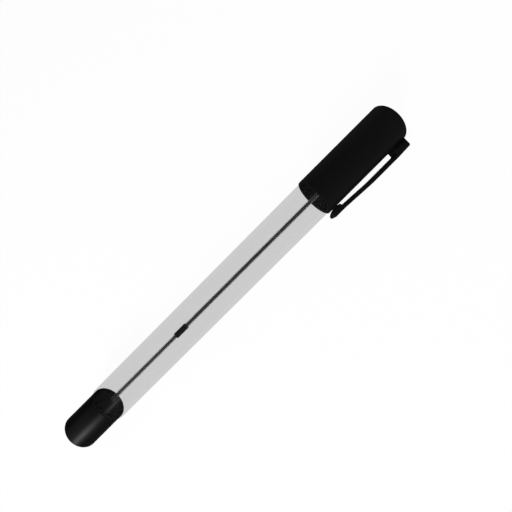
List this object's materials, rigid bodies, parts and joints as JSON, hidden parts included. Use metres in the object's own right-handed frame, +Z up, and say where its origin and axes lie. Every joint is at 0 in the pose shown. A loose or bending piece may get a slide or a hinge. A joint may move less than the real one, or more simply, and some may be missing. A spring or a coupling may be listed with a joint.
{
  "type": "stick ballpoint pen",
  "caption": "Capped stick ballpoint pen with a smoke-clear barrel, thin ink refill, black push-fit cap with pocket clip and black tail cap.",
  "frame": {"origin": "centre of the tail cap's flat end, on the pen's axis", "axes": "+X along the pen towards the cap, +Z up as the pen lies on a desk with its clip touching the desk on the -Y side"},
  "size_m": [0.14, 0.0162, 0.0138],
  "materials": {
    "smoke_clear": "clear, polished",
    "black_gloss": "moulded, satin gloss",
    "black_satin": "moulded, satin",
    "tube_clear": "extruded, translucent",
    "ink_black": "wet",
    "holder_white": "moulded",
    "nickel_silver": "turned",
    "carbide": "polished"
  },
  "bodies": {
    "barrel": {"barrel": "smoke_clear", "tail_cap": "black_gloss", "nose_cone": "black_satin", "tip_holder": "holder_white", "point": "nickel_silver", "ink_tube": "tube_clear", "tail_tube": "tube_clear", "refill_collar": "black_satin", "ink_column": "ink_black"},
    "cap": {"cap_shell": "black_satin"},
    "clip": {"cap_clip": "black_satin"},
    "ball": {"writing_ball": "carbide"}
  },
  "joints": [
    {"name": "cap_pull", "type": "slide", "parent": "barrel", "child": "cap", "axis": [1, 0, 0], "range_m": [0, 0.045]},
    {"name": "clip_flex", "type": "hinge", "parent": "cap", "child": "clip", "pos_m": [0.13945, -0.00587, -0.00369], "axis": [0, -0.532, 0.8467], "range_deg": [0, 4], "stiffness_Nm_per_rad": 1},
    {"name": "ball_roll", "type": "hinge", "parent": "barrel", "child": "ball", "pos_m": [0.1359, 0, 0], "axis": [0, 1, 0], "continuous": true}
  ]
}
